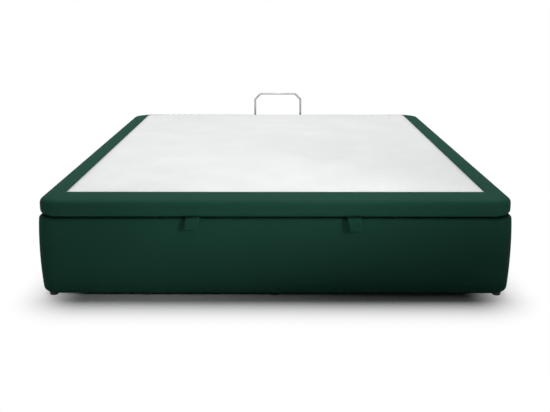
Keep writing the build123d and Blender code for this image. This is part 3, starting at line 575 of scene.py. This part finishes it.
def rear_seams():
    """Flat seams that close the box's cover at its two head corners, sewn with two rows."""
    seam, sewing = Shape(), Shape()
    section = box_section(BOX_REAR_ROUND)[OUTSIDE_FIRST:-INSIDE_POINTS]
    outward = Vector((0, 1))
    for side in (-1, 1):
        centre = Vector((side * CORNER_X, CORNER_Y))
        spine = [box_face(centre, outward, reach, level) for reach, level in section]
        rings = []
        travelled, next_stitch = 0.0, STITCH_PITCH
        for k, place in enumerate(spine):
            along = spine[min(k + 1, len(spine) - 1)] - spine[max(k - 1, 0)]
            along, across, up = square_axes(along, (0, 1, 0))
            rings.append([place + across * SEAM_HALF * a + up * MM * b for a, b in SEAM_PROFILE])
            if k == 0:
                continue
            step = (place - spine[k - 1]).length
            while next_stitch < travelled + step:
                middle = spine[k - 1].lerp(place, (next_stitch - travelled) / step)
                for row in (-1, 1):
                    seat = middle + across * row * SEAM_STITCH + up * 0.6 * MM
                    sewing.stitch(seat, along, up, STITCH_PITCH * 0.75, 0.45 * MM)
                next_stitch += STITCH_PITCH
            travelled += step
        seam.loft(rings)
    seam.build("box_rear_seams", "box", "upholstery", MATERIALS["upholstery"])
    sewing.build("box_rear_stitches", "box", "upholstery", MATERIALS["thread"])


LID_TOP_ROUND = 18 * MM
LID_BOTTOM_ROUND = 11 * MM
LID_REAR_RISE = 24 * MM
LID_ROUND = 78 * MM
LID_LIP = 33 * MM
POCKET_HALF = 46 * MM
TUCK = 2.5 * MM
EDGE_BOW = 0.3 * MM
BORDER_CROWN = 1.2 * MM
BORDER_WAVE = 0.5 * MM


def lid_section_outer(rise):
    """Outer part of the lid cover's section, from the top border's outer edge to the lip. Its
    lower edge rises over the given height."""
    low, high = LID_LOW.z, LID_HIGH.z
    edge = LID_ROUND
    points = arc_points((edge - LID_TOP_ROUND, high - LID_TOP_ROUND), LID_TOP_ROUND, 90, 0, 9)
    points.append((edge + EDGE_BOW, (low + rise + high - LID_TOP_ROUND) / 2))
    for across, up in arc_points((0, 0), 1, 0, -90, 9):
        points.append((edge - LID_BOTTOM_ROUND * (1 - across), low + rise * (1 + up)))
    return points


def lid_cover():
    """Padded leather border of the lid: top band, rounded edge and the lip turned under."""
    low, high = LID_LOW.z, LID_HIGH.z
    board_top = LID_BOARD_HIGH.z
    inward = LID_ROUND - LID_CORNER
    corner_x, corner_y = CORNER_X - inward, CORNER_Y - inward
    frame_reach = FRAME_CORNER + inward
    rings = []
    for centre, outward, share in plan_stations(corner_x, corner_y):
        outer = lid_section_outer(rear_blend(outward, LID_BOTTOM_ROUND, LID_REAR_RISE))
        at_side = share is not None
        inner = Vector((
            max(PANEL_LOW.x, min(PANEL_HIGH.x, centre.x * PANEL_HIGH.x / corner_x)),
            PANEL_LOW.y if centre.y < -corner_y + 1e-6 else PANEL_HIGH.y,
        ))
        if at_side and abs(outward.x) > 0.5:
            middle = (PANEL_HIGH.y + PANEL_LOW.y) / 2
            half = (PANEL_HIGH.y - PANEL_LOW.y) / 2
            inner = Vector((math.copysign(PANEL_HIGH.x, outward.x), middle + half * centre.y / corner_y))
        ring = [(inner.x, inner.y, board_top)]
        ring.append((inner.x, inner.y, high - TUCK))
        edge = centre + outward * outer[0][0]
        across = (edge - inner).normalized()
        for angle in (30, 60, 90):
            turn = math.radians(angle)
            out = inner + across * TUCK * (1 - math.cos(turn))
            ring.append((out.x, out.y, high - TUCK * (1 - math.sin(turn))))
        start = inner + across * TUCK
        for k in range(1, 9):
            place = start.lerp(edge, k / 9)
            crown = BORDER_CROWN * math.sin(math.pi * k / 9)
            crown += soft_shift((place.x, place.y, 0), 4.0, BORDER_WAVE, 7.7)
            ring.append((place.x, place.y, high + crown))
        for reach, level in outer:
            place = centre + outward * reach
            ring.append((place.x, place.y, level))
        in_pocket = outward.y > 0.99 and abs(abs(centre.x) - HINGE_X) < POCKET_HALF
        lip_end = frame_reach if in_pocket else frame_reach - LID_LIP
        for reach, level in (
            ((outer[-1][0] + lip_end) / 2, low),
            (lip_end, low),
            (lip_end, low + SKIN),
            (frame_reach, low + SKIN),
            (frame_reach, (low + board_top) / 2),
            (frame_reach, board_top),
        ):
            place = centre + outward * reach
            ring.append((place.x, place.y, level))
        rings.append(ring)
    obj = ring_mesh("lid_upholstery", rings, "lid", MATERIALS["upholstery"])
    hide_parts("lid_cover")
    return obj


PANEL_STEP = 0.015
PANEL_ROLL = 5 * MM
PANEL_SLACK = 0.004
PANEL_PRESSURE = 4.0
PANEL_CAP = 2.5 * MM
CLOTH_FRAMES = 20
PANEL_EDGE_DROP = 1.5 * MM
PANEL_EDGE_RISE = 2.5 * MM
PANEL_CROWN_SPARE = 1.0 * MM
PANEL_WAVE = 0.6 * MM


def settle_cloth(obj, moving, slack, pressure, cap):
    """Lets the moving points of a piece swell as slightly slack cloth, no further than the
    cap, and keeps the result as its mesh."""
    scene = bpy.context.scene
    held = obj.vertex_groups.new(name="held")
    held.add([v.index for v in obj.data.vertices if v.index not in moving], 1.0, "REPLACE")
    cloth = obj.modifiers.new("cloth", "CLOTH")
    cloth.settings.vertex_group_mass = "held"
    cloth.settings.use_pressure = True
    cloth.settings.uniform_pressure_force = pressure
    cloth.settings.shrink_min = -slack
    cloth.settings.effector_weights.gravity = 0
    cloth.point_cache.frame_start = 1
    cloth.point_cache.frame_end = CLOTH_FRAMES
    for step in range(1, CLOTH_FRAMES + 1):
        scene.frame_set(step)
    settled = obj.evaluated_get(bpy.context.evaluated_depsgraph_get()).data
    places = [v.co.copy() for v in settled.vertices]
    obj.modifiers.remove(cloth)
    obj.vertex_groups.remove(held)
    scene.frame_set(1)
    for vert, place in zip(obj.data.vertices, places):
        move = place - vert.co
        if move.length > cap:
            move = move.normalized() * cap
        vert.co = vert.co + move


def top_panel():
    """Pale crowned panel of spacer fabric, with a rolled edge."""
    bottom = FOAM_HIGH.z
    crown = PANEL_HIGH.z - LID_HIGH.z
    half_x = PANEL_HIGH.x
    half_y = (PANEL_HIGH.y - PANEL_LOW.y) / 2
    middle_y = (PANEL_HIGH.y + PANEL_LOW.y) / 2
    columns = round(2 * half_x / PANEL_STEP)
    rows = round(2 * half_y / PANEL_STEP)
    verts, faces = [], []
    for j in range(rows + 1):
        for i in range(columns + 1):
            x = -half_x + 2 * half_x * i / columns
            y = middle_y - half_y + 2 * half_y * j / rows
            u, v = x / half_x, (y - middle_y) / half_y
            dome = (1 - u * u) ** 0.8 * (1 - abs(v) ** 6)
            in_x, in_y = half_x - abs(x), half_y - abs(y - middle_y)
            inside = min(in_x, in_y)
            roll = min(1.0, inside / PANEL_ROLL)
            edge = LID_HIGH.z - PANEL_EDGE_DROP + PANEL_EDGE_RISE * math.sqrt(max(0.0, 1 - (1 - roll) ** 2))
            z = edge + (crown - PANEL_CROWN_SPARE) * dome
            z += soft_shift((x, y, 0), 5.0, PANEL_WAVE, 1.3) * roll
            verts.append((x, y, z))
    for j in range(rows):
        for i in range(columns):
            a = j * (columns + 1) + i
            faces.append((a, a + 1, a + columns + 2, a + columns + 1))
    border = list(range(columns))
    border += [j * (columns + 1) + columns for j in range(rows)]
    border += [rows * (columns + 1) + i for i in range(columns, 0, -1)]
    border += [j * (columns + 1) for j in range(rows, 0, -1)]
    first = len(verts)
    for index in border:
        x, y, _ = verts[index]
        verts.append((x, y, bottom))
    count = len(border)
    for k in range(count):
        m = (k + 1) % count
        faces.append((border[k], first + k, first + m, border[m]))
    faces.append(tuple(range(first + count - 1, first - 1, -1)))
    obj = add_object("top_fabric_panel", verts, faces, "lid", MATERIALS["white_fabric"])
    moving = {j * (columns + 1) + i for j in range(1, rows) for i in range(1, columns)}
    settle_cloth(obj, moving, PANEL_SLACK, PANEL_PRESSURE, PANEL_CAP)
    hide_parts("top_panel")
    return obj


FOAM_INSET = 1 * MM
FOAM_BELOW_PANEL = 0.2 * MM
FOAM_EDGE = 2 * MM


def lid_foam():
    """Foam sheet between the lid's board and the pale panel."""
    low = FOAM_LOW + Vector((FOAM_INSET, FOAM_INSET, 0))
    high = FOAM_HIGH - Vector((FOAM_INSET, FOAM_INSET, FOAM_BELOW_PANEL))
    mesh = bpy.data.meshes.new("lid_foam_sheet")
    sheet = bmesh.new()
    bmesh.ops.create_cube(sheet, size=1.0)
    for vert in sheet.verts:
        vert.co = Vector(((low[k] + high[k]) / 2 + vert.co[k] * (high[k] - low[k]) for k in range(3)))
    bmesh.ops.bevel(
        sheet, geom=list(sheet.edges), offset=FOAM_EDGE, segments=3, profile=0.5, affect="EDGES"
    )
    sheet.to_mesh(mesh)
    sheet.free()
    mesh.shade_smooth()
    obj = bpy.data.objects.new("lid_foam_sheet", mesh)
    bpy.context.scene.collection.objects.link(obj)
    obj.data.materials.append(MATERIALS["foam"])
    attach(obj, "lid")
    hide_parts("lid_foam")
    return obj


# Pull tabs
STRAP = 1.8 * MM
LOOP_RADIUS = 5.5 * MM
LAYER_GAP = 0.2 * MM
STRAP_BEND_BELOW = 12 * MM
STRAP_SHARE = 0.92
STRAP_WAVE = 0.6 * MM


def strap_line():
    """The strap's middle line as (y, z): out through the gap, down, round and back again."""
    low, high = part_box("pull_tab_right")
    bend_z = BOX_HIGH.z - STRAP_BEND_BELOW
    front_z = high.z - STRAP / 2
    back_z = front_z - STRAP - LAYER_GAP
    front_y = low.y + STRAP / 2
    turn_z = low.z + STRAP / 2 + LOOP_RADIUS
    back_y = front_y + 2 * LOOP_RADIUS
    front_round = front_z - bend_z
    back_round = back_z - bend_z
    line = [(high.y, front_z), ((high.y + front_y) / 2, front_z)]
    line += arc_points((front_y + front_round, bend_z), front_round, 90, 180, 12)
    line += [(front_y, (bend_z + turn_z) / 2)]
    line += arc_points((front_y + LOOP_RADIUS, turn_z), LOOP_RADIUS, 180, 360, 18)
    line += [(back_y, (bend_z + turn_z) / 2)]
    line += arc_points((back_y + back_round, bend_z), back_round, 180, 90, 12)
    line += [((high.y + back_y) / 2, back_z), (high.y, back_z)]
    return [Vector((0, y, z)) for y, z in line]


def pull_tab(side, shift, lean, swing, twist, stretch):
    """A folded strap of the same leather, sewn along both edges. Where it hangs it leans
    sideways, swings out, twists and stretches by a few millimetres."""
    low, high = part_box(f"pull_tab_{side}")
    middle_x, half = (low.x + high.x) / 2 + shift, (high.x - low.x) / 2 * STRAP_SHARE
    line = strap_line()
    strap, sewing = Shape(), Shape()
    columns = [-1 + k / 4 for k in range(9)]
    rings = []
    travelled, next_stitch = 0.0, 0.0
    for k, place in enumerate(line):
        along = (line[min(k + 1, len(line) - 1)] - line[max(k - 1, 0)]).normalized()
        up = Vector((0, -along.z, along.y))
        drop = max(0.0, min(1.0, (high.z - place.z) / (high.z - low.z)))

        def skin(share, lift):
            x = middle_x + share * half + lean * drop
            out = swing * drop * drop + twist * (share + 1) * drop
            wave = soft_shift((share * half, place.y * 3, place.z * 3), 30.0, STRAP_WAVE, middle_x)
            seat = Vector((x, place.y - out, place.z - stretch * drop * drop))
            return seat + up * (lift + wave * drop * drop)

        ring = [skin(c, -STRAP / 2) for c in columns]
        ring += [skin(1.02, 0)]
        ring += [skin(c, STRAP / 2) for c in reversed(columns)]
        ring += [skin(-1.02, 0)]
        rings.append(ring)
        if k:
            step = (place - line[k - 1]).length
            while next_stitch < travelled + step:
                if drop > 0.05:
                    for edge in (-0.86, 0.86):
                        for face in (-1, 1):
                            seat = skin(edge, face * STRAP / 2)
                            sewing.stitch(seat, along, up * face, STITCH_PITCH * 0.6, 0.35 * MM)
                next_stitch += STITCH_PITCH * 0.8
            travelled += step
    strap.loft(rings)
    obj = strap.build(f"pull_strap_{side}", "lid", "upholstery", MATERIALS["upholstery"])
    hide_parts(f"pull_tab_{side}")
    sewing.build(f"pull_strap_stitches_{side}", "lid", "upholstery", MATERIALS["thread"])


# Small fasteners
STAPLE_PITCH = 46 * MM
STAPLE_FROM_EDGE = 8 * MM
CLEAR_OF_HINGE = 75 * MM
CLEAR_OF_TAB = 60 * MM
CLEAR_OF_GLIDE = 30 * MM
HINGE_FROM_EDGE = 30 * MM
GLIDE_RADIUS = 15 * MM


def staple_row(shape, reach, level, up, clear_of):
    """Staples along the four sides, but none within reach of the places to keep clear."""
    for sx, sy in ((0, -1), (1, 0), (0, 1), (-1, 0)):
        outward = Vector((sx, sy, 0))
        along = Vector((-sy, sx, 0))
        half = CORNER_X if sy else CORNER_Y
        count = int(2 * half / STAPLE_PITCH)
        for k in range(count):
            place = outward * ((CORNER_Y if sy else CORNER_X) + reach)
            place = place + along * (-half + (k + 0.5) * 2 * half / count)
            near = any((place.xy - Vector(p)).length < gap for p, gap in clear_of)
            if not near:
                slant = along + outward * 0.12 * math.sin(k * 2.4)
                shape.staple(Vector((place.x, place.y, level)), slant, up)


def upholstery_staples():
    """Staples that hold the covers to the lid's frame and to the walls' foot."""
    board_face = POST_HIGH.x - CORNER_X
    wall = board_face - BOARD
    lid_clear = [((side * HINGE_X, LID_HIGH.y - HINGE_FROM_EDGE), CLEAR_OF_HINGE) for side in (-1, 1)]
    for side in ("left", "right"):
        low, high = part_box(f"pull_tab_{side}")
        lid_clear.append((((low.x + high.x) / 2, high.y), CLEAR_OF_TAB))
    under_lid = Shape()
    lid_lip = FRAME_CORNER - LID_LIP
    staple_row(under_lid, lid_lip + STAPLE_FROM_EDGE, LID_LOW.z, (0, 0, -1), lid_clear)
    under_lid.build("lid_cover_staples", "lid", "zinc", MATERIALS["zinc"], 30)

    on_box = Shape()
    glide_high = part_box("glides")[1]
    line_x, line_y = glide_high.x - GLIDE_RADIUS, glide_high.y - GLIDE_RADIUS
    places = [(x, y) for x in (-line_x, 0, line_x) for y in (-line_y, 0, line_y)]
    foot_clear = [(place, CLEAR_OF_GLIDE) for place in places]
    staple_row(on_box, wall - CLEAT + STAPLE_FROM_EDGE, BOX_LOW.z, (0, 0, -1), foot_clear)
    on_box.build("box_cover_staples", "box", "zinc", MATERIALS["zinc"], 30)


SCREW_RADIUS = 4.2 * MM
BRACE_BEND = 106 * MM
BRACE_FLANGE = 40 * MM
BRACE_PLATE = 2.5 * MM
BRACKET_PLATE = 4 * MM
BRACKET_HALF_PITCH = 28 * MM
BRACKET_LEVELS = (16 * MM, 52 * MM, 88 * MM)
SPRING_PLATE = 3 * MM
BASE_SCREW_INSET = 10 * MM
LID_SCREW_INSET = 9 * MM


def screws():
    """Pan-head screws through the steel fittings, into the boards and the lid's rails."""
    on_box, on_lid = Shape(), Shape()
    low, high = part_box("corner_braces")
    bend = BRACE_BEND + BRACE_FLANGE / 2
    for sx in (-1, 1):
        for sy in (-1, 1):
            for share in (0.25, 0.75):
                z = low.z + share * (high.z - low.z)
                side_seat = (sx * (high.x - BRACE_PLATE), sy * (high.y - bend), z)
                end_seat = (sx * (high.x - bend), sy * (high.y - BRACE_PLATE), z)
                on_box.screw(side_seat, (-sx, 0, 0), SCREW_RADIUS)
                on_box.screw(end_seat, (0, -sy, 0), SCREW_RADIUS)
    for side, sx in (("left", -1), ("right", 1)):
        low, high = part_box(f"hinge_bracket_{side}")
        middle = (low.x + high.x) / 2
        front = HEAD_BOARD_LOW.y - BRACKET_PLATE
        for x in (middle - BRACKET_HALF_PITCH, middle + BRACKET_HALF_PITCH):
            for level in BRACKET_LEVELS:
                on_box.screw((x, front, low.z + level), (0, -1, 0), SCREW_RADIUS)
        low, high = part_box(f"spring_base_{side}")
        plate_x = sx * (BOARD_LOW.x - SPRING_PLATE)
        for y in (low.y + BASE_SCREW_INSET, high.y - BASE_SCREW_INSET):
            for z in (low.z + BASE_SCREW_INSET, high.z - BASE_SCREW_INSET):
                on_box.screw((plate_x, y, z), (-sx, 0, 0), SCREW_RADIUS)
        low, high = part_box(f"spring_lid_plate_{side}")
        plate_x = sx * (max(abs(low.x), abs(high.x)) - SPRING_PLATE)
        for y in (low.y + LID_SCREW_INSET, high.y - LID_SCREW_INSET):
            on_lid.screw((plate_x, y, (low.z + high.z) / 2), (-sx, 0, 0), SCREW_RADIUS)
    on_box.build("box_screws", "box", "zinc", MATERIALS["zinc"], 35)
    on_lid.build("lid_screws", "lid", "zinc", MATERIALS["zinc"], 35)


# Studio
FLOOR_REACH = 12.0
FLOOR_PALE = 0.95
FADE_STARTS, FADE_ENDS = 0.0, 0.25
FADE_INSIDE_X = 0.15
FILL = 0.05


def floor_material():
    """Pale floor that fades to plain white away from the object, for what the camera sees."""
    n = Nodes("studio_floor")
    n.set(colour=(FLOOR_PALE, FLOOR_PALE, FLOOR_PALE, 1.0), rough=0.9, specular=0.0)
    size = n.new("VectorMath", operation="ABSOLUTE")
    n.link(n.place, size.inputs[0])
    outside = n.new("VectorMath", operation="SUBTRACT")
    n.link(size.outputs["Vector"], outside.inputs[0])
    outside.inputs[1].default_value = (BOX_HIGH.x - FADE_INSIDE_X, BOX_HIGH.y, 0)
    beyond = n.new("VectorMath", operation="MAXIMUM")
    n.link(outside.outputs["Vector"], beyond.inputs[0])
    distance = n.new("VectorMath", operation="LENGTH")
    n.link(beyond.outputs["Vector"], distance.inputs[0])
    away = n.new("MapRange", interpolation_type="SMOOTHSTEP")
    away.inputs["From Min"].default_value = FADE_STARTS
    away.inputs["From Max"].default_value = FADE_ENDS
    n.link(distance.outputs["Value"], away.inputs["Value"])
    path = n.new("LightPath")
    seen = n.math("MAXIMUM", path.outputs["Is Camera Ray"], path.outputs["Is Glossy Ray"])
    seen = n.math("MAXIMUM", seen, path.outputs["Is Transmission Ray"])
    white = n.new("Emission")
    mix = n.new("MixShader")
    n.link(n.math("MULTIPLY", away.outputs["Result"], seen), mix.inputs[0])
    n.link(n.shader.outputs[0], mix.inputs[1])
    n.link(white.outputs[0], mix.inputs[2])
    n.link(mix.outputs[0], n.tree.nodes["Material Output"].inputs["Surface"])
    return n.material


def make_floor():
    """The plain floor under the object."""
    mesh = bpy.data.meshes.new("floor")
    corners = [(x * FLOOR_REACH, y * FLOOR_REACH, 0) for x, y in ((-1, -1), (1, -1), (1, 1), (-1, 1))]
    mesh.from_pydata(corners, [], [(0, 1, 2, 3)])
    floor = bpy.data.objects.new("floor", mesh)
    bpy.context.scene.collection.objects.link(floor)
    mesh.materials.append(floor_material())


def make_world(ambient):
    """White for what the camera and the gloss see, and a soft fill for everything else."""
    world = bpy.data.worlds.new("studio")
    world.use_nodes = True
    bpy.context.scene.world = world
    tree = world.node_tree
    background = tree.nodes["Background"]
    background.inputs["Color"].default_value = (1, 1, 1, 1)
    path = tree.nodes.new("ShaderNodeLightPath")
    seen = path.outputs["Is Camera Ray"]
    for name in ("Is Glossy Ray", "Is Transmission Ray"):
        either = tree.nodes.new("ShaderNodeMath")
        either.operation = "MAXIMUM"
        tree.links.new(seen, either.inputs[0])
        tree.links.new(path.outputs[name], either.inputs[1])
        seen = either.outputs[0]
    strength = tree.nodes.new("ShaderNodeMapRange")
    strength.inputs["To Min"].default_value = ambient
    strength.inputs["To Max"].default_value = 1.0
    tree.links.new(seen, strength.inputs["Value"])
    tree.links.new(strength.outputs["Result"], background.inputs["Strength"])


def make_softbox(name, place, size, energy):
    """A wide flat light overhead, shining straight down."""
    lamp = bpy.data.lights.new(name, "AREA")
    lamp.shape = "RECTANGLE"
    lamp.size, lamp.size_y = size
    lamp.energy = energy
    obj = bpy.data.objects.new(name, lamp)
    obj.location = place
    bpy.context.scene.collection.objects.link(obj)


def make_grid_light(name, aim, azimuth, elevation, distance, size, spread, energy):
    """A gridded strip light, aimed at a place from an azimuth off the foot end, whose narrow
    beam fades out above the floor."""
    lamp = bpy.data.lights.new(name, "AREA")
    lamp.shape = "RECTANGLE"
    lamp.size, lamp.size_y = size
    lamp.spread = math.radians(spread)
    lamp.energy = energy
    turn, rise = math.radians(azimuth), math.radians(elevation)
    back = Vector((math.sin(turn) * math.cos(rise), -math.cos(turn) * math.cos(rise), math.sin(rise)))
    obj = bpy.data.objects.new(name, lamp)
    obj.location = Vector(aim) + back * distance
    obj.rotation_euler = back.to_track_quat("Z", "Y").to_euler()
    obj.visible_camera = False
    bpy.context.scene.collection.objects.link(obj)


def make_camera():
    """The camera fitted to the photograph's outlines."""
    data = bpy.data.cameras.new("camera")
    data.sensor_fit = "HORIZONTAL"
    data.sensor_width = SENSOR
    data.lens = FOCAL_PIXELS / PHOTO_WIDTH * SENSOR
    camera = bpy.data.objects.new("camera", data)
    camera.location = CAMERA_PLACE
    camera.rotation_euler = Euler((math.radians(90 - CAMERA_DOWN), 0, math.radians(CAMERA_YAW)))
    bpy.context.scene.collection.objects.link(camera)
    bpy.context.scene.camera = camera


dress_cad_nodes()
box_cover()
lid_cover()
top_panel()
lid_foam()
rear_seams()
pull_tab("left", -8 * MM, -6 * MM, 4 * MM, 0, 0)
pull_tab("right", -4 * MM, 8 * MM, 5 * MM, 2.5 * MM, 5 * MM)
upholstery_staples()
screws()
make_floor()
make_world(FILL)
make_softbox("overhead_softbox", (-0.2, 0.45, 4.0), (4.6, 2.1), 169)
make_grid_light("front_strip", (0, LID_LOW.y, 0.52), 0, 0, 3.55, (2.6, 0.24), 12, 1.4)
make_grid_light("edge_strip", (0.1, LID_LOW.y, 0.34), 52, 17, 3.2, (0.9, 0.2), 12, 0.6)
make_camera()
bpy.context.scene.view_settings.view_transform = "Standard"
